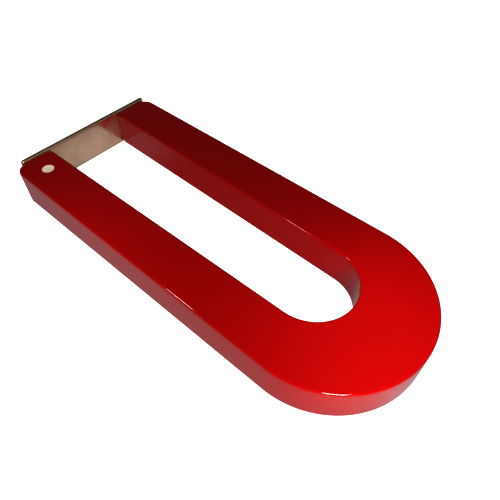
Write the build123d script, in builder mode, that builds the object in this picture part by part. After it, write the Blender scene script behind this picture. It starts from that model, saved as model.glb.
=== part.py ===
from build123d import *
import os

# Horseshoe lifting magnet with its keeper, in millimetres.
# The limbs run along X with the poles at -X, the width is along Y, and +Z is up from the face it lies on.
# The origin is at the middle of the whole object's footprint, on the surface that it lies on.

# Magnet
magnet_length = 150.0  # from the pole faces to the outside of the bend
magnet_width = 62.7
magnet_thickness = 14.1
crown_thickness = 24.0  # metal at the middle of the bend, heavier than the limbs
slot_end_radius = 14.1
slot_width_at_poles = 31.6  # the slot opens a little towards the poles
edge_radius = 0.8  # every long edge of the casting
outer_pole_corner_radius = 4.8
inner_pole_corner_radius = 1.8
grinding_allowance = 0.4  # ground off the cast ends once they are enamelled
enamel_thickness = 0.25

# North pole mark: a drilled dimple filled with white paint
mark_diameter = 4.4
mark_depth = 0.8
mark_from_pole_face = 9.0
mark_off_centre = 0.6  # drilled a little nearer to the slot than the middle of the limb
mark_below_enamel = 0.05  # the paint's edge lies this far below the enamel
mark_dishing = 0.15  # and its middle has sunk by this much more as it dried

# Keeper: a strip of soft steel across both poles
keeper_length = 58.0
keeper_height = 15.0
keeper_thickness = 1.2
keeper_off_centre = 1.1  # where it was put on, towards the unmarked pole
keeper_corner_radius = 1.0
keeper_edge_radius = 0.2

# Places worked out from the sizes above
pole_x = (keeper_thickness - magnet_length) / 2
bend_x = pole_x + magnet_length - magnet_width / 2
slot_end_x = pole_x + magnet_length - crown_thickness - slot_end_radius
limb_width_at_poles = (magnet_width - slot_width_at_poles) / 2
mark_x = pole_x + mark_from_pole_face
mark_y = mark_off_centre - (magnet_width - limb_width_at_poles) / 2
pole_plane = Plane.YZ.offset(pole_x)


def cast_body(inset):
    """The U-shaped casting before its ends are ground, with every surface moved inwards by inset."""
    cast_end_x = pole_x - grinding_allowance
    half_width = magnet_width / 2
    crown_x = pole_x + magnet_length
    with BuildPart() as casting:
        with BuildSketch(Plane.XY.offset(inset)) as outline:
            with BuildLine():
                near_side = Line((cast_end_x, -half_width), (bend_x, -half_width))
                bend = ThreePointArc(near_side @ 1, (crown_x, 0), (bend_x, half_width))
                far_side = Line(bend @ 1, (cast_end_x, half_width))
                Line(far_side @ 1, near_side @ 0)
            make_face()
            # The slot is the hull of a full circle and the slot's mouth, so its sides are tangent to its round end
            with BuildSketch(mode=Mode.PRIVATE) as slot:
                with BuildLine():
                    CenterArc((slot_end_x, 0), slot_end_radius, 0, 360)
                    Line((cast_end_x, -slot_width_at_poles / 2), (cast_end_x, slot_width_at_poles / 2))
                make_hull()
            add(slot.sketch, mode=Mode.SUBTRACT)
            # The four corners of the limb ends: first the two outer ones, then the two beside the slot
            end_corners = outline.vertices().group_by(Axis.X)[0].sort_by(Axis.Y)
            fillet([end_corners[0], end_corners[-1]], outer_pole_corner_radius)
            end_corners = outline.vertices().group_by(Axis.X)[0].sort_by(Axis.Y)
            fillet(end_corners[1:-1], inner_pole_corner_radius)
            if inset > 0:
                offset(amount=-inset, kind=Kind.ARC, mode=Mode.REPLACE)
        extrude(amount=magnet_thickness - 2 * inset)
        flat_faces = casting.faces().sort_by(Axis.Z)
        fillet(flat_faces[0].edges() + flat_faces[-1].edges(), edge_radius - inset)
    return casting.part


enamelled_shape = cast_body(0)
metal_shape = cast_body(enamel_thickness)

# The magnet itself: a cast U of magnet alloy, bare only on its two ground pole faces
with BuildPart() as magnet_core:
    add(metal_shape)
    split(bisect_by=pole_plane, keep=Keep.TOP)
    with Locations((mark_x, mark_y, magnet_thickness)):
        Hole(mark_diameter / 2, mark_depth)
magnet_core.part.label = "magnet_core"

# Red stoving enamel: a skin over the whole casting, open at the pole faces and over the dimple
with BuildPart() as enamel_coat:
    add(enamelled_shape)
    add(metal_shape, mode=Mode.SUBTRACT)
    split(bisect_by=pole_plane, keep=Keep.TOP)
    with Locations((mark_x, mark_y, magnet_thickness)):
        Hole(mark_diameter / 2, mark_depth)
enamel_coat.part.label = "enamel_coat"

# White paint in the dimple: flat below, slightly dished on top
mark_floor_z = magnet_thickness - mark_depth
mark_edge_x = mark_x + mark_diameter / 2
paint_edge_z = magnet_thickness - mark_below_enamel
paint_middle_z = paint_edge_z - mark_dishing
with BuildPart() as north_mark:
    with BuildSketch(Plane.XZ.offset(-mark_y)):
        with BuildLine():
            dished_top = TangentArc((mark_x, paint_middle_z), (mark_edge_x, paint_edge_z), tangent=(1, 0))
            Polyline(dished_top @ 1, (mark_edge_x, mark_floor_z), (mark_x, mark_floor_z), dished_top @ 0)
        make_face()
    revolve(axis=Axis((mark_x, mark_y, 0), (0, 0, 1)))
north_mark.part.label = "north_mark"

# Keeper: rests on the same surface as the magnet and lies flat against both poles
with BuildPart() as keeper:
    with BuildSketch(pole_plane):
        with Locations((keeper_off_centre, keeper_height / 2)):
            RectangleRounded(keeper_length, keeper_height, keeper_corner_radius)
    extrude(amount=-keeper_thickness)
    strip_faces = keeper.faces().sort_by(Axis.X)
    fillet(strip_faces[0].edges() + strip_faces[-1].edges(), keeper_edge_radius)
keeper.part.label = "keeper"

os.makedirs("parts", exist_ok=True)
for piece in (magnet_core, enamel_coat, north_mark, keeper):
    export_step(piece.part, f"parts/{piece.part.label}.step")
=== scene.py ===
import bpy
import math
import numpy as np
from mathutils import Matrix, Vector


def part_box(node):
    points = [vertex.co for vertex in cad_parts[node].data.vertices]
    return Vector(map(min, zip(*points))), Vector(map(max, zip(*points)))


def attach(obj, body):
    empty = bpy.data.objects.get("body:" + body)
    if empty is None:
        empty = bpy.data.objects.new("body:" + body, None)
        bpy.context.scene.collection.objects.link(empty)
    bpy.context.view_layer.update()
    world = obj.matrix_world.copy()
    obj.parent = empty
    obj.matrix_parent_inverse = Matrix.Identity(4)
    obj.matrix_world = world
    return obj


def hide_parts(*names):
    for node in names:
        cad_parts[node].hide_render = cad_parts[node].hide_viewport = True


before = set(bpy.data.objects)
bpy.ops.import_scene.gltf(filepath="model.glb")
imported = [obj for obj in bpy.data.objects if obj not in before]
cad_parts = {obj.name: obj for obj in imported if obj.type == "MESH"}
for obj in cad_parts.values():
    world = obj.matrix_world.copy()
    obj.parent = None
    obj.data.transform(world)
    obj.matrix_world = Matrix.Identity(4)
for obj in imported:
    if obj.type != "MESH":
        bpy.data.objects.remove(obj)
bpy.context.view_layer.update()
print("frame loaded:", sorted(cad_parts))

mm = 0.001  # shapes are worked out in millimetres and turned to metres when their mesh is made

coatLow, coatHigh = (np.array(corner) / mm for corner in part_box("enamel_coat"))
keeperLow, keeperHigh = (np.array(corner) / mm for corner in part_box("keeper"))
markLow, markHigh = (np.array(corner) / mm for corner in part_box("north_mark"))
markMiddle = (markLow + markHigh) / 2
poleX = coatLow[0]  # the ground pole faces


# points is an (n, 3) array in millimetres, faces a list of arrays with one face's corners in each row
def makePiece(name, points, faces, material, body, replaced, sharpAngle=30):  # in degrees
    mesh = bpy.data.meshes.new(name)
    corners = np.concatenate([f.ravel() for f in faces])
    sizes = np.concatenate([np.full(len(f), f.shape[1]) for f in faces])
    starts = np.concatenate([[0], np.cumsum(sizes)[:-1]])
    mesh.vertices.add(len(points))
    mesh.vertices.foreach_set("co", (points * mm).astype(np.float32).ravel())
    mesh.loops.add(len(corners))
    mesh.loops.foreach_set("vertex_index", corners.astype(np.int32))
    mesh.polygons.add(len(sizes))
    mesh.polygons.foreach_set("loop_start", starts.astype(np.int32))
    mesh.update(calc_edges=True)
    mesh.validate()
    mesh.polygons.foreach_set("use_smooth", np.ones(len(mesh.polygons), bool))
    mesh.set_sharp_from_angle(angle=math.radians(sharpAngle))
    mesh.materials.append(material)
    piece = bpy.data.objects.new(name, mesh)
    bpy.context.scene.collection.objects.link(piece)
    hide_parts(replaced)
    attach(piece, body)
    print(name, "made,", len(mesh.polygons), "faces")
    return piece


# Quads between two rows of vertex numbers
def stripFaces(rowA, rowB, closed=False):
    if closed:
        rowA, rowB = np.append(rowA, rowA[0]), np.append(rowB, rowB[0])
    return np.stack([rowA[:-1], rowA[1:], rowB[1:], rowB[:-1]], axis=1)


# Quads over a whole grid of vertex numbers, closed round its second direction where asked
def gridFaces(index, closed=False):
    return np.concatenate([stripFaces(a, b, closed) for a, b in zip(index[:-1], index[1:])])


# sRGB hex to linear: c / 12.92 in the dark part, ((c + 0.055) / 1.055) to the power 2.4 above it
def linearColour(hexText):
    c = np.array([int(hexText[i:i + 2], 16) for i in (1, 3, 5)]) / 255
    linear = np.where(c <= 0.04045, c / 12.92, ((c + 0.055) / 1.055) ** 2.4)
    return (*[float(v) for v in linear], 1.0)


# An input is linked where its value is a socket and set where it is a plain value
def addNode(tree, kind, settings=None, inputs=None):
    node = tree.nodes.new(kind)
    for name, value in (settings or {}).items():
        setattr(node, name, value)
    for name, value in (inputs or {}).items():
        if isinstance(value, bpy.types.NodeSocket):
            tree.links.new(value, node.inputs[name])
        else:
            node.inputs[name].default_value = value
    return node


# Its patterns are placed by the piece's own coordinates, in metres
def newMaterial(name):
    material = bpy.data.materials.new(name)
    material.use_nodes = True
    tree = material.node_tree
    tree.nodes.clear()
    shader = addNode(tree, "ShaderNodeBsdfPrincipled")
    addNode(tree, "ShaderNodeOutputMaterial", inputs={"Surface": shader.outputs[0]})
    place = addNode(tree, "ShaderNodeTexCoord").outputs["Object"]
    return material, tree, shader, place


# The noise scale that gives features of this size in millimetres
def perSize(sizeMm):
    return 1 / (sizeMm * mm)


camera = {
    "place": (0.07648, -0.07508, 0.12531),
    "heading": 40.34,  # degrees left of +Y
    "lookDown": 49.85,
    "roll": 0.77,
    "lens": 33.36,
}


# Turned about its own axis by the roll, then up from looking straight down by 90 degrees less lookDown,
# then round Z by the heading, and last moved to its place
def placeCamera():
    data = bpy.data.cameras.new("camera")
    data.lens = camera["lens"]
    data.sensor_width = 36
    data.clip_start = 0.005
    obj = bpy.data.objects.new("camera", data)
    bpy.context.scene.collection.objects.link(obj)
    obj.matrix_world = (
        Matrix.Translation(camera["place"])
        @ Matrix.Rotation(math.radians(camera["heading"]), 4, "Z")
        @ Matrix.Rotation(math.radians(90 - camera["lookDown"]), 4, "X")
        @ Matrix.Rotation(math.radians(camera["roll"]), 4, "Z")
    )
    bpy.context.scene.camera = obj


placeCamera()
print("camera placed")

enamel = {
    "red": "#A20304",
    "deepRed": "#980203",  # where the coat lies a little thicker
    "thickSize": 24,  # mm
    "ior": 1.48,
    "roughness": (0.06, 0.13),
    "rubSize": 4.0,  # mm, patches dulled by handling
    "rubLimits": (0.35, 0.7),  # the noise values that give the glossiest and the dullest coat
    "peelSize": 1.2,  # mm, orange peel
    "peelHeight": 0.0045,
    "flowSize": 9.0,  # mm, slow waves left as the coat flowed out
    "flowHeight": 0.018,
    "nibSpacing": 5.5,  # mm between dust nibs
    "nibSize": 0.16,
    "nibHeight": 0.012,
}


# Stoving enamel, dipped or sprayed on the casting and baked. It looks deep and glassy, with sharp but
# gently wandering reflections, a fine orange peel, a few dust nibs and duller patches where it is handled.
def makeStovingEnamel():
    material, tree, shader, place = newMaterial("redStovingEnamel")
    thick = addNode(tree, "ShaderNodeTexNoise", inputs={
        "Vector": place, "Scale": perSize(enamel["thickSize"]), "Detail": 2})
    shade = addNode(tree, "ShaderNodeMix", {"data_type": "RGBA"}, {
        0: thick.outputs["Fac"], 6: linearColour(enamel["deepRed"]), 7: linearColour(enamel["red"])})
    tree.links.new(shade.outputs[2], shader.inputs["Base Color"])

    rub = addNode(tree, "ShaderNodeTexNoise", inputs={
        "Vector": place, "Scale": perSize(enamel["rubSize"]), "Detail": 5, "Roughness": 0.65})
    gloss = addNode(tree, "ShaderNodeMapRange", inputs={
        "Value": rub.outputs["Fac"], "From Min": enamel["rubLimits"][0], "From Max": enamel["rubLimits"][1],
        "To Min": enamel["roughness"][0], "To Max": enamel["roughness"][1]})
    tree.links.new(gloss.outputs[0], shader.inputs["Roughness"])

    flow = addNode(tree, "ShaderNodeTexNoise", inputs={
        "Vector": place, "Scale": perSize(enamel["flowSize"]), "Detail": 1})
    peel = addNode(tree, "ShaderNodeTexNoise", inputs={
        "Vector": place, "Scale": perSize(enamel["peelSize"]), "Detail": 1})
    nibs = addNode(tree, "ShaderNodeTexVoronoi", inputs={
        "Vector": place, "Scale": perSize(enamel["nibSpacing"])})
    nib = addNode(tree, "ShaderNodeMapRange", {"interpolation_type": "SMOOTHSTEP"}, {
        "Value": nibs.outputs["Distance"], "From Max": enamel["nibSize"] / enamel["nibSpacing"],
        "To Min": 1.0, "To Max": 0.0})
    slow = addNode(tree, "ShaderNodeBump", inputs={
        "Height": flow.outputs["Fac"], "Distance": enamel["flowHeight"] * mm})
    fine = addNode(tree, "ShaderNodeBump", inputs={
        "Height": peel.outputs["Fac"], "Distance": enamel["peelHeight"] * mm, "Normal": slow.outputs[0]})
    dust = addNode(tree, "ShaderNodeBump", inputs={
        "Height": nib.outputs[0], "Distance": enamel["nibHeight"] * mm, "Normal": fine.outputs[0]})
    tree.links.new(dust.outputs[0], shader.inputs["Normal"])
    shader.inputs["IOR"].default_value = enamel["ior"]
    return material


alloy = {
    "bright": "#B4AEA5",
    "dark": "#77736C",
    "roughness": (0.2, 0.4),
    "wheelMarkPitch": 0.22,  # mm, about three times as coarse as real wheel marks, so that they show
    "wheelMarkLength": 9.0,
    "wheelMarkDepth": 0.006,
    "grainSize": 1.6,  # mm, the coarse crystals of the casting
    "grainShare": 0.3,  # how much the crystals count beside the wheel marks
    "glossLimits": (0.35, 0.95),  # the summed pattern's values at the dull and the glossy end
}


# Cast magnet alloy, surface ground. Bright grey with fine straight wheel marks across both poles,
# and the coarse crystals of the casting showing faintly under them.
def makeGroundAlloy():
    material, tree, shader, place = newMaterial("groundMagnetAlloy")
    pitch, length = perSize(alloy["wheelMarkPitch"]), perSize(alloy["wheelMarkLength"])
    along = addNode(tree, "ShaderNodeMapping", inputs={"Vector": place, "Scale": (pitch, length, pitch)})
    marks = addNode(tree, "ShaderNodeTexNoise", inputs={
        "Vector": along.outputs[0], "Scale": 1.0, "Detail": 4, "Roughness": 0.7})
    crystals = addNode(tree, "ShaderNodeTexVoronoi", inputs={
        "Vector": place, "Scale": perSize(alloy["grainSize"])})
    crystalShade = addNode(tree, "ShaderNodeSeparateColor", inputs={0: crystals.outputs["Color"]})
    both = addNode(tree, "ShaderNodeMath", {"operation": "MULTIPLY_ADD"}, {
        0: crystalShade.outputs[0], 1: alloy["grainShare"], 2: marks.outputs["Fac"]})
    shade = addNode(tree, "ShaderNodeMix", {"data_type": "RGBA"}, {
        0: both.outputs[0], 6: linearColour(alloy["dark"]), 7: linearColour(alloy["bright"])})
    tree.links.new(shade.outputs[2], shader.inputs["Base Color"])
    gloss = addNode(tree, "ShaderNodeMapRange", inputs={
        "Value": both.outputs[0], "From Min": alloy["glossLimits"][0], "From Max": alloy["glossLimits"][1],
        "To Min": alloy["roughness"][1], "To Max": alloy["roughness"][0]})
    tree.links.new(gloss.outputs[0], shader.inputs["Roughness"])
    groove = addNode(tree, "ShaderNodeBump", inputs={
        "Height": marks.outputs["Fac"], "Distance": alloy["wheelMarkDepth"] * mm})
    tree.links.new(groove.outputs[0], shader.inputs["Normal"])
    shader.inputs["Metallic"].default_value = 1.0
    return material


steel = {
    "bright": "#F4D6BC",
    "tarnished": "#E0C0A2",
    # painted shade: the dark olive given to the cut edges
    "cutEdgeAndShade": "#A89F80",
    "metallic": (0.85, 1.0),  # lower where a thin tarnish film lies on it
    "roughness": 0.14,  # where it is clean
    "cutRoughness": 0.5,
    "cutWear": -2.0,  # takes a cut edge this far below the most stained part of the face
    "rollLinePitch": 0.3,  # mm, coarser than real rolling lines, so that they show
    "rollLineLength": 18.0,
    "rollLineDepth": 0.004,
    "rollLineShare": 0.5,  # how much the lines count beside the stains
    "stainSize": 8.0,  # mm
    "stainLimits": (0.3, 0.7),
    "pitSize": 0.5,  # mm
    "pitDepth": 0.005,
}


# Cold-rolled mild steel strip, sheared to length and a little tarnished. It is a dull, warm grey mirror
# with faint lines along the strip, cloudy stains, and rougher cut edges darkened to olive by painted shade.
def makeStripSteel():
    material, tree, shader, place = newMaterial("tarnishedStripSteel")
    pitch, length = perSize(steel["rollLinePitch"]), perSize(steel["rollLineLength"])
    along = addNode(tree, "ShaderNodeMapping", inputs={"Vector": place, "Scale": (pitch, length, pitch)})
    lines = addNode(tree, "ShaderNodeTexNoise", inputs={
        "Vector": along.outputs[0], "Scale": 1.0, "Detail": 4, "Roughness": 0.65})
    stain = addNode(tree, "ShaderNodeTexNoise", inputs={
        "Vector": place, "Scale": perSize(steel["stainSize"]), "Detail": 5, "Roughness": 0.6})
    pits = addNode(tree, "ShaderNodeTexNoise", inputs={
        "Vector": place, "Scale": perSize(steel["pitSize"]), "Detail": 2})
    clean = addNode(tree, "ShaderNodeMapRange", {"interpolation_type": "SMOOTHSTEP"}, {
        "Value": stain.outputs["Fac"],
        "From Min": steel["stainLimits"][0], "From Max": steel["stainLimits"][1]})
    brightness = addNode(tree, "ShaderNodeMath", {"operation": "MULTIPLY_ADD"}, {
        0: lines.outputs["Fac"], 1: steel["rollLineShare"], 2: clean.outputs[0]})
    face = addNode(tree, "ShaderNodeMix", {"data_type": "RGBA"}, {
        0: brightness.outputs[0], 6: linearColour(steel["tarnished"]), 7: linearColour(steel["bright"])})
    # the cut edges get a rougher finish and, as painted shade, a darker olive colour
    cutAndShade = addNode(tree, "ShaderNodeAttribute", {"attribute_name": "cutEdgeAndShade"}).outputs["Fac"]
    shade = addNode(tree, "ShaderNodeMix", {"data_type": "RGBA"}, {
        0: cutAndShade, 6: face.outputs[2], 7: linearColour(steel["cutEdgeAndShade"])})
    tree.links.new(shade.outputs[2], shader.inputs["Base Color"])
    film = addNode(tree, "ShaderNodeMapRange", inputs={
        "Value": clean.outputs[0], "To Min": steel["metallic"][0], "To Max": steel["metallic"][1]})
    tree.links.new(film.outputs[0], shader.inputs["Metallic"])
    wear = addNode(tree, "ShaderNodeMath", {"operation": "MULTIPLY_ADD"}, {
        0: cutAndShade, 1: steel["cutWear"], 2: clean.outputs[0]})
    gloss = addNode(tree, "ShaderNodeMapRange", inputs={
        "Value": wear.outputs[0], "From Min": steel["cutWear"],
        "To Min": steel["cutRoughness"], "To Max": steel["roughness"]})
    tree.links.new(gloss.outputs[0], shader.inputs["Roughness"])
    rolled = addNode(tree, "ShaderNodeBump", inputs={
        "Height": lines.outputs["Fac"], "Distance": steel["rollLineDepth"] * mm})
    pitted = addNode(tree, "ShaderNodeBump", inputs={
        "Height": pits.outputs["Fac"], "Distance": steel["pitDepth"] * mm, "Normal": rolled.outputs[0]})
    tree.links.new(pitted.outputs[0], shader.inputs["Normal"])
    return material


paint = {
    "ivory": "#FFEEDA",
    "paintedShadeGrey": "#EEE2CC",  # painted shade, greyer in the middle of the dish
    "shadeReachLimits": (0.15, 0.75),  # shares of the radius over which the painted shade fades out
    "shadeStrength": 0.9,
    "rim": "#F2BDAA",  # so thin at the rim that the red shows through
    "rimWidth": 0.25,  # mm
    "roughness": 0.36,
    "dabSize": 0.9,  # mm
    "dabHeight": 0.03,
}


# Off-white gloss paint dabbed into the drilled dimple and left to dry. It shows soft brush dabs,
# is greyed in the middle of its dish by painted shade and is pinkish at its thin rim.
def makeDimplePaint():
    material, tree, shader, place = newMaterial("ivoryDimplePaint")
    middle = tuple(float(v) * mm for v in (markMiddle[0], markMiddle[1], markHigh[2]))
    centred = addNode(tree, "ShaderNodeVectorMath", {"operation": "SUBTRACT"}, {0: place, 1: middle})
    distance = addNode(tree, "ShaderNodeVectorMath", {"operation": "LENGTH"}, {0: centred.outputs[0]})
    reach = distance.outputs["Value"]
    radius = float(markHigh[0] - markLow[0]) / 2 * mm
    dab = addNode(tree, "ShaderNodeTexNoise", inputs={
        "Vector": place, "Scale": perSize(paint["dabSize"]), "Detail": 3})
    # painted shade: greyer in the dish's middle, fading out towards the rim and broken up by the dabs
    middleShade = addNode(tree, "ShaderNodeMapRange", inputs={
        "Value": reach,
        "From Min": paint["shadeReachLimits"][0] * radius, "From Max": paint["shadeReachLimits"][1] * radius,
        "To Min": paint["shadeStrength"], "To Max": 0.0})
    dabbedShade = addNode(tree, "ShaderNodeMath", {"operation": "MULTIPLY"}, {
        0: middleShade.outputs[0], 1: dab.outputs["Fac"]})
    body = addNode(tree, "ShaderNodeMix", {"data_type": "RGBA"}, {
        0: dabbedShade.outputs[0], 6: linearColour(paint["ivory"]), 7: linearColour(paint["paintedShadeGrey"])})
    rim = addNode(tree, "ShaderNodeMapRange", {"interpolation_type": "SMOOTHSTEP"}, {
        "Value": reach, "From Min": radius - paint["rimWidth"] * mm, "From Max": radius})
    shade = addNode(tree, "ShaderNodeMix", {"data_type": "RGBA"}, {
        0: rim.outputs[0], 6: body.outputs[2], 7: linearColour(paint["rim"])})
    tree.links.new(shade.outputs[2], shader.inputs["Base Color"])
    bump = addNode(tree, "ShaderNodeBump", inputs={
        "Height": dab.outputs["Fac"], "Distance": paint["dabHeight"] * mm})
    tree.links.new(bump.outputs[0], shader.inputs["Normal"])
    shader.inputs["Roughness"].default_value = paint["roughness"]
    return material


redEnamel = makeStovingEnamel()
groundAlloy = makeGroundAlloy()
stripSteel = makeStripSteel()
dimplePaint = makeDimplePaint()
print("materials made")

casting = {
    "coat": 0.25,  # mm of enamel
    "edgeRadius": 0.8,
    "crown": 24.0,
    "slotEndRadius": 14.1,
    "slotHalfWidthAtPoles": 15.8,
    "outerCorner": 4.8,
    "innerCorner": 1.8,
    "groundOff": 0.4,  # how much of the rounded cast ends has been ground away
    "dimpleLip": 0.12,  # soft edge of the enamel round the dimple
    "windowMargin": 1.3,  # from the dimple to the square window of the grid that is rebuilt round it
    "fineBeyond": 2.5,  # how far past the dimple the sections stay close together
    "poleDip": 0.26,  # how far the coat thins towards the ground faces
    "poleDipLength": 1.5,
    "sections": {"corner": 14, "byDimple": 18, "limb": 64, "bend": 96},
    "pointsRound": {"wall": 8, "edge": 8, "across": 26, "lip": 6, "rings": 6},
}


# The outline and the height of the U, with every surface moved in by inset. The slot's straight sides lean
# by b, and along them cos b times |y| plus sin b times (x - slotX) is ri. At a distance d inside the outline
# the top has risen over its rounded edge by the root of r squared minus (r - d) squared. Only on the outside
# it also dips towards the pole faces, by the square of the way along the dip.
def horseshoe(inset):
    mouthX = poleX - casting["groundOff"]
    endX = mouthX + inset
    half = coatHigh[1] - inset
    bendX = coatHigh[0] - coatHigh[1]
    slotX = coatHigh[0] - casting["crown"] - casting["slotEndRadius"]
    slotHalf = casting["slotHalfWidthAtPoles"]
    mouth = math.hypot(slotHalf, slotX - mouthX)
    b = math.acos(casting["slotEndRadius"] / mouth) - math.atan2(slotX - mouthX, slotHalf)
    ri = casting["slotEndRadius"] + inset
    rOut, rIn, r = (casting[name] - inset for name in ("outerCorner", "innerCorner", "edgeRadius"))
    dip = casting["poleDip"] / r if inset == 0 else 0
    inX = endX + rIn
    inY = (ri + rIn - math.sin(b) * (inX - slotX)) / math.cos(b)

    def outerY(x):
        e = np.clip(rOut - (x - endX), 0, rOut)
        return half - rOut + np.sqrt(rOut ** 2 - e ** 2)

    def innerY(x):
        e = np.clip(inX - x, 0, rIn)
        side = (ri - math.sin(b) * (x - slotX)) / math.cos(b)
        return np.where(x < inX - rIn * math.sin(b), inY - np.sqrt(rIn ** 2 - e ** 2), side)

    def rise(x, y):
        y = abs(y)
        outer = np.where(x > bendX, half - np.hypot(x - bendX, y), half - y)
        corner = (x < endX + rOut) & (y > half - rOut)
        outer = np.where(corner, rOut - np.hypot(endX + rOut - x, y - half + rOut), outer)
        side = math.cos(b) * y + math.sin(b) * (x - slotX) - ri
        inner = np.where(x > slotX + ri * math.sin(b), np.hypot(x - slotX, y) - ri, side)
        corner = (x < inX) & (y < inY)
        inner = np.where(corner, rIn - np.hypot(inX - x, inY - y), inner)
        d = np.clip(np.minimum(np.minimum(outer, inner), x - endX), 0, r)
        along = np.clip(1 - (x - poleX) / casting["poleDipLength"], 0, 1)
        return np.sqrt(np.clip(r ** 2 - (r - d) ** 2, 0, None)) * (1 - dip * along ** 2)

    return dict(endX=endX, half=half, bendX=bendX, slotX=slotX, b=b, ri=ri, rOut=rOut, r=r,
                outerY=outerY, innerY=innerY, rise=rise)


# Closed sections, carried from the near pole round the bend to the far one. Each runs from a point O of the
# outer edge to a point I of the slot's edge, its points at O plus a share of (I - O), and that share is
# r (1 - cos a) over the rounded edges. Round it come the top, the slot's wall, the bottom and the outer wall.
def horseshoeGrid(inset):
    shape, count, around = horseshoe(inset), casting["sections"], casting["pointsRound"]
    cornerEnd = poleX - casting["groundOff"] + casting["outerCorner"]
    first = math.acos((shape["endX"] + shape["rOut"] - poleX) / shape["rOut"])
    a = np.linspace(first, math.pi / 2, count["corner"], endpoint=False)
    cornerX = shape["endX"] + shape["rOut"] * (1 - np.cos(a))
    straight = shape["bendX"] - cornerEnd
    pastDimple = (markHigh[0] + casting["fineBeyond"] - cornerEnd) / straight
    u = np.concatenate([
        np.linspace(0, pastDimple, count["byDimple"], endpoint=False),
        np.linspace(pastDimple, 1, count["limb"], endpoint=False)])
    tangentX = shape["slotX"] + shape["ri"] * math.sin(shape["b"])
    outerX = np.concatenate([cornerX, cornerEnd + u * straight])
    innerX = np.concatenate([cornerX, cornerEnd + u * (tangentX - cornerEnd)])
    outer = np.stack([outerX, -shape["outerY"](outerX)], axis=1)
    inner = np.stack([innerX, -shape["innerY"](innerX)], axis=1)
    turn = np.linspace(-1, 1, count["bend"] + 1)
    angleOut, angleIn = turn * math.pi / 2, turn * (math.pi / 2 - shape["b"])
    outerBend = np.stack([
        shape["bendX"] + shape["half"] * np.cos(angleOut), shape["half"] * np.sin(angleOut)], axis=1)
    innerBend = np.stack([
        shape["slotX"] + shape["ri"] * np.cos(angleIn), shape["ri"] * np.sin(angleIn)], axis=1)
    mirrored = np.array([1, -1])
    outer = np.concatenate([outer, outerBend, outer[::-1] * mirrored])
    inner = np.concatenate([inner, innerBend, inner[::-1] * mirrored])

    width = np.linalg.norm(inner - outer, axis=1)[:, None]
    a = np.linspace(0, math.pi / 2, around["edge"] + 1)
    edge = shape["r"] * (1 - np.cos(a))[None, :] + 0 * width
    flat = shape["r"] + np.linspace(0, 1, around["across"] + 1)[None, 1:-1] * (width - 2 * shape["r"])
    share = np.concatenate([edge, flat, (width - edge)[:, ::-1]], axis=1) / width
    xy = outer[:, None, :] + share[:, :, None] * (inner - outer)[:, None, :]
    rise = shape["rise"](xy[..., 0], xy[..., 1])
    rise[:, [0, -1]] = 0
    top = np.dstack([xy, coatHigh[2] - inset - shape["r"] + rise])
    bottom = np.dstack([xy, coatLow[2] + inset + shape["r"] - rise])[:, ::-1]
    up = np.linspace(0, 1, around["wall"] + 1)[None, 1:-1, None]
    slotWall = top[:, -1:] + up * (bottom[:, :1] - top[:, -1:])
    outerWall = bottom[:, -1:] + up * (top[:, :1] - bottom[:, -1:])
    return np.concatenate([top, slotWall, bottom, outerWall], axis=1), top.shape[1]


# Rings that turn a square window of the grid into a circle round the dimple:
# a point is W plus a share of (C - W), with W on the window's edge and C on the circle
def dimpleRings(window, radius, z):
    angle = np.arctan2(window[:, 1] - markMiddle[1], window[:, 0] - markMiddle[0])
    circle = markMiddle[:2] + radius * np.stack([np.cos(angle), np.sin(angle)], axis=1)
    share = np.linspace(0, 1, casting["pointsRound"]["rings"] + 1)[1:, None, None]
    rings = window[None, :, :2] + share * (circle - window[:, :2])[None]
    return np.dstack([rings, np.full(rings.shape[:2], z)])


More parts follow.
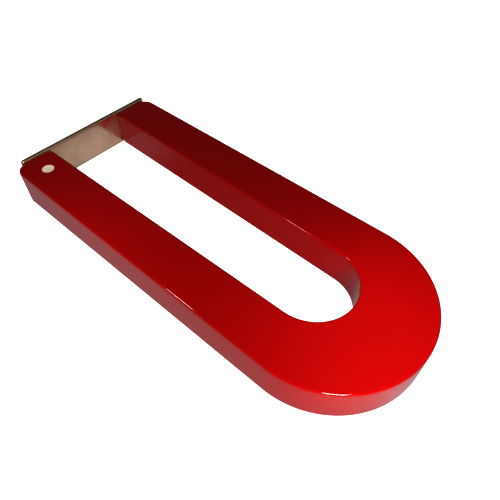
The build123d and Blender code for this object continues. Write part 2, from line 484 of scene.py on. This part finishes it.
# The coat is closed: an outside, an inside one coat thickness within it, a lip that joins them in the dimple
# as a quarter round, and narrow strips between their edges at the two ground pole faces
def makeEnamelSkin():
    outside, topCount = horseshoeGrid(0)
    inside = horseshoeGrid(casting["coat"])[0]
    n, k = outside.shape[:2]
    index = np.arange(n * k).reshape(n, k)
    points, faces, total = [outside.reshape(-1, 3), inside.reshape(-1, 3)], [], 2 * n * k

    windowLow, windowHigh = markLow - casting["windowMargin"], markHigh + casting["windowMargin"]
    i0, i1 = np.searchsorted(outside[:n // 2, topCount // 2, 0], (windowLow[0], windowHigh[0]))
    k0, k1 = np.searchsorted(outside[(i0 + i1) // 2, :topCount, 1], (windowLow[1], windowHigh[1]))
    window = np.concatenate([index[i0, k0:k1], index[i0:i1, k1], index[i1, k1:k0:-1], index[i1:i0:-1, k0]])
    section, place = np.meshgrid(np.arange(n - 1), np.arange(k), indexing="ij")
    cutOut = (section >= i0) & (section < i1) & (place >= k0) & (place < k1)
    shell = gridFaces(index, closed=True)[~cutOut.ravel()]

    radius, lip = (markHigh[0] - markLow[0]) / 2, casting["dimpleLip"]
    rims = []
    for first, grid, rim, z, way in (
        (0, outside, radius + lip, coatHigh[2], 1),
        (n * k, inside, radius, coatHigh[2] - casting["coat"], -1),
    ):
        rings = dimpleRings(grid.reshape(-1, 3)[window], rim, z)
        ringIndex = total + np.arange(rings[..., 0].size).reshape(rings.shape[:2])
        total += ringIndex.size
        points.append(rings.reshape(-1, 3))
        faces.append((shell + first)[:, ::-way])
        faces.append(gridFaces(np.concatenate([(window + first)[None], ringIndex]), closed=True)[:, ::way])
        rims.append((ringIndex[-1], rings[-1]))

    a = np.linspace(0, math.pi / 2, casting["pointsRound"]["lip"])[1:, None, None]
    outwards = (rims[0][1][None, :, :2] - markMiddle[:2]) / (radius + lip)
    turnedDown = rims[0][1] + np.concatenate([
        -lip * np.sin(a) * outwards, -lip * (1 - np.cos(a)) + 0 * outwards[..., :1]], axis=2)
    lipIndex = total + np.arange(turnedDown[..., 0].size).reshape(turnedDown.shape[:2])
    points.append(turnedDown.reshape(-1, 3))
    faces.append(gridFaces(np.concatenate([rims[0][0][None], lipIndex, rims[1][0][None]]), closed=True))

    for i, way in ((0, -1), (n - 1, 1)):
        faces.append(stripFaces(index[i], index[i] + n * k, closed=True)[:, ::way])
    makePiece(
        "enamelSkin", np.concatenate(points), faces, redEnamel, "magnet", "enamel_coat")


makeEnamelSkin()

mark = {"rings": 14, "around": 72, "dish": 0.15, "gap": 0.004}  # dish and gap in mm


# A shallow dish on a flat foot: it lies dish times (1 - q squared) below its rim, with q the distance
# from the middle over the radius
def makeNorthMark():
    radius = (markHigh[0] - markLow[0]) / 2 - mark["gap"]
    q = np.linspace(0, 1, mark["rings"] + 1)[1:, None]
    angle = np.linspace(0, 2 * math.pi, mark["around"], endpoint=False)[None]
    z = markHigh[2] - mark["dish"] * (1 - q ** 2) + 0 * angle
    dish = np.dstack([
        markMiddle[0] + radius * q * np.cos(angle), markMiddle[1] + radius * q * np.sin(angle), z])
    foot = dish[-1] * [1, 1, 0] + [0, 0, markLow[2]]
    centre = np.array([[markMiddle[0], markMiddle[1], markHigh[2] - mark["dish"]]])
    below = np.array([[markMiddle[0], markMiddle[1], markLow[2]]])
    points = np.concatenate([centre, dish.reshape(-1, 3), foot, below])
    rows = 1 + np.arange((mark["rings"] + 1) * mark["around"]).reshape(-1, mark["around"])
    dishFan = np.stack([np.zeros(mark["around"], int), rows[0], np.roll(rows[0], -1)], axis=1)
    footFan = np.stack([np.full(mark["around"], len(points) - 1), np.roll(rows[-1], -1), rows[-1]], axis=1)
    faces = [gridFaces(rows, closed=True)[:, ::-1], dishFan, footFan]
    makePiece("northMark", points, faces, dimplePaint, "magnet", "north_mark")


makeNorthMark()

strip = {
    "cornerRadius": 1.0,
    "cornerPoints": 10,
    "sidePoints": 30,
    "sharpAngle": 50,  # degrees
    # The edge, drawn down by the shears on the face side. Each row says how far in and how far back it is,
    # in mm, and how much of a cut edge it looks: rougher, and darkened with painted shade.
    "edgeProfile": [
        (3.0, 0.0, 0.0), (1.5, 0.0, 0.0), (1.15, 0.008, 0.1), (0.85, 0.03, 0.25), (0.6, 0.07, 0.45),
        (0.38, 0.13, 0.65), (0.2, 0.22, 0.85), (0.07, 0.34, 0.95), (0.0, 0.5, 1.0), (0.0, 0.8, 1.0),
        (0.02, 1.0, 1.0), (0.03, 1.12, 1.0), (0.02, 1.17, 0.9), (0.03, 1.195, 0.8), (0.09, 1.2, 0.3),
        (0.25, 1.2, 0.0), (3.0, 1.2, 0.0)],
}


# The edge profile carried round a rectangle with rounded corners. A loop moved in by d has half sizes
# smaller by d, and its corner radius is r (1 - d / half height), so that the loops never cross.
def makeKeeperStrip():
    middleY, middleZ = (keeperLow[1] + keeperHigh[1]) / 2, (keeperLow[2] + keeperHigh[2]) / 2
    halfY, halfZ = (keeperHigh[1] - keeperLow[1]) / 2, (keeperHigh[2] - keeperLow[2]) / 2
    d, back, cutAndShade = (column[:, None] for column in np.array(strip["edgeProfile"]).T)
    r = strip["cornerRadius"] * (1 - d / halfZ)
    insideY, insideZ = halfY - d - r, halfZ - d - r
    a = np.linspace(0, math.pi / 2, strip["cornerPoints"])[None]
    share = np.linspace(-1, 1, strip["sidePoints"] + 1)[None, 1:-1]
    runs = []
    for corner, (signY, signZ) in enumerate(((1, 1), (-1, 1), (-1, -1), (1, -1))):
        turned = a + corner * math.pi / 2
        runs.append((signY * insideY + r * np.cos(turned), signZ * insideZ + r * np.sin(turned)))
        if corner % 2 == 0:
            runs.append((-signZ * insideY * share, signZ * (halfZ - d) + 0 * share))
        else:
            runs.append((signY * (halfY - d) + 0 * share, signY * insideZ * share))
    y, z = (np.concatenate(side, axis=1) for side in zip(*runs))
    points = np.dstack([keeperHigh[0] - back + 0 * y, middleY + y, middleZ + z])
    index = np.arange(y.size).reshape(y.shape)
    faces = [gridFaces(index, closed=True)[:, ::-1], index[:1], index[-1:, ::-1]]
    piece = makePiece(
        "keeperStrip", points.reshape(-1, 3), faces, stripSteel, "keeper", "keeper",
        sharpAngle=strip["sharpAngle"])
    attribute = piece.data.attributes.new("cutEdgeAndShade", "FLOAT", "POINT")
    attribute.data.foreach_set("value", np.repeat(cutAndShade, y.shape[1]).astype(np.float32))


makeKeeperStrip()

# The casting under the enamel keeps its own shape and shows only at the two pole faces
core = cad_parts["magnet_core"]
if not core.material_slots:
    core.data.materials.append(groundAlloy)
for materialSlot in core.material_slots:
    materialSlot.material = groundAlloy
print("magnet_core finished")

studio = {
    "table": "#6B6B6A",
    "tableReach": 3.0,  # m from the middle to its edge
    "tableBelow": 2e-5,  # m under the magnet, so that the two surfaces never share a place
    "tableRoughness": 0.6,
    "tableTint": "#FFFAFF",
    "tableGlow": 0.41,  # soft light back up from the table on to everything
    "tableShine": 0.28,  # how bright gloss and metal reflect the table
    "litShine": 0.43,  # the part of it past the bend, where the front lamp falls
    "farShine": 0.18,  # the same on the far side, away from that lamp
    "slotShine": 0.08,  # the part of it between the limbs, which they shade
    "litX": (0.060, 0.082),  # where litShine starts and is full, in metres like the next four
    "farY": (-0.012, 0.006),  # where it begins to turn to farShine and has turned to it
    "slotOffCentre": (0.014, 0.018),  # slotShine is full up to here and gone from there
    "slotStartX": (-0.066, -0.040),
    "slotEndX": (0.026, 0.040),
    "tableWhite": 1.4,  # how bright the camera sees it
    "ambient": 0.26,
    "lowSky": 0.30,  # what gloss and metal reflect near the horizon, and overhead
    "highSky": 0.065,
    "skyHeights": (0.05, 0.62),  # upward parts of the direction between which the one turns to the other
    "lamps": {  # place, size, power and what it points at: soft discs close to the magnet
        "over": ((0.065, 0.006, 0.042), 0.060, 0.0122, (0.065, 0.006, 0.0)),
        "side": ((-0.020, -0.065, 0.065), 0.018, 0.0190, (-0.028, -0.020, 0.0)),
        "front": ((0.102, -0.060, 0.056), 0.030, 0.0690, (0.050, -0.010, 0.0)),
    },
}


# A disc lamp whose own -Z runs from its place to its target
def placeLamp(name, place, size, power, target):
    data = bpy.data.lights.new(name, "AREA")
    data.shape = "DISK"
    data.size = size
    data.energy = power
    lamp = bpy.data.objects.new(name, data)
    bpy.context.scene.collection.objects.link(lamp)
    back = np.array(place) - np.array(target)
    back /= np.linalg.norm(back)
    right = np.cross([0.0, 1.0, 0.0], back)
    right /= np.linalg.norm(right)
    turn = Matrix(np.column_stack([right, np.cross(back, right), back]).tolist()).to_4x4()
    lamp.matrix_world = Matrix.Translation(place) @ turn
    lamp.visible_camera = False
    lamp.visible_glossy = name != "over"


# The table's strength is tableWhite for what the camera sees directly, a soft pattern of shines for gloss and
# metal, and tableGlow for everything else. The sky is 1, a fall from lowSky to highSky, and ambient.
def setStudio():
    reach, below, smooth = studio["tableReach"], -studio["tableBelow"], {"interpolation_type": "SMOOTHSTEP"}
    mesh = bpy.data.meshes.new("table")
    mesh.from_pydata([
        (-reach, -reach, below), (reach, -reach, below), (reach, reach, below), (-reach, reach, below)],
        [], [(0, 1, 2, 3)])
    table = bpy.data.objects.new("table", mesh)
    bpy.context.scene.collection.objects.link(table)
    material, tree, shader, place = newMaterial("paleTable")
    shader.inputs["Base Color"].default_value = linearColour(studio["table"])
    shader.inputs["Roughness"].default_value = studio["tableRoughness"]
    shader.inputs["Emission Color"].default_value = linearColour(studio["tableTint"])
    spot = addNode(tree, "ShaderNodeSeparateXYZ", inputs={0: place}).outputs
    offCentre = addNode(tree, "ShaderNodeMath", {"operation": "ABSOLUTE"}, {0: spot["Y"]}).outputs[0]
    pastBend = addNode(tree, "ShaderNodeMapRange", smooth, {
        "Value": spot["Y"], "From Min": studio["farY"][0], "From Max": studio["farY"][1],
        "To Min": studio["litShine"], "To Max": studio["farShine"]})
    lit = addNode(tree, "ShaderNodeMapRange", smooth, {
        "Value": spot["X"], "From Min": studio["litX"][0], "From Max": studio["litX"][1],
        "To Min": studio["tableShine"], "To Max": pastBend.outputs[0]})
    between = addNode(tree, "ShaderNodeMapRange", smooth, {
        "Value": offCentre, "From Min": studio["slotOffCentre"][0], "From Max": studio["slotOffCentre"][1],
        "To Min": 1.0, "To Max": 0.0})
    pastKeeper = addNode(tree, "ShaderNodeMapRange", smooth, {
        "Value": spot["X"], "From Min": studio["slotStartX"][0], "From Max": studio["slotStartX"][1],
        "To Max": between.outputs[0]})
    shaded = addNode(tree, "ShaderNodeMapRange", smooth, {
        "Value": spot["X"], "From Min": studio["slotEndX"][0], "From Max": studio["slotEndX"][1],
        "To Min": pastKeeper.outputs[0], "To Max": 0.0})
    shine = addNode(tree, "ShaderNodeMix", inputs={
        0: shaded.outputs[0], 2: lit.outputs[0], 3: studio["slotShine"]})
    rays = addNode(tree, "ShaderNodeLightPath").outputs
    unseen = addNode(tree, "ShaderNodeMix", inputs={
        0: rays["Is Glossy Ray"], 2: studio["tableGlow"], 3: shine.outputs[0]})
    glow = addNode(tree, "ShaderNodeMix", inputs={
        0: rays["Is Camera Ray"], 2: unseen.outputs[0], 3: studio["tableWhite"]})
    tree.links.new(glow.outputs[0], shader.inputs["Emission Strength"])
    mesh.materials.append(material)

    for name, settings in studio["lamps"].items():
        placeLamp(name, *settings)

    world = bpy.data.worlds.new("studio")
    bpy.context.scene.world = world
    world.use_nodes = True
    tree = world.node_tree
    tree.nodes.clear()
    rays = addNode(tree, "ShaderNodeLightPath").outputs
    direction = addNode(tree, "ShaderNodeTexCoord").outputs["Generated"]
    height = addNode(tree, "ShaderNodeSeparateXYZ", inputs={0: direction}).outputs["Z"]
    sky = addNode(tree, "ShaderNodeMapRange", smooth, {
        "Value": height, "From Min": studio["skyHeights"][0], "From Max": studio["skyHeights"][1],
        "To Min": studio["lowSky"], "To Max": studio["highSky"]})
    unseen = addNode(tree, "ShaderNodeMix", inputs={
        0: rays["Is Glossy Ray"], 2: studio["ambient"], 3: sky.outputs[0]})
    strength = addNode(tree, "ShaderNodeMix", inputs={0: rays["Is Camera Ray"], 2: unseen.outputs[0], 3: 1.0})
    glow = addNode(tree, "ShaderNodeBackground", inputs={
        "Color": (1, 1, 1, 1), "Strength": strength.outputs[0]})
    addNode(tree, "ShaderNodeOutputWorld", inputs={"Surface": glow.outputs[0]})
    bpy.context.scene.view_settings.view_transform = "Standard"
    bpy.context.scene.view_settings.look = "High Contrast"


setStudio()
print("studio set")
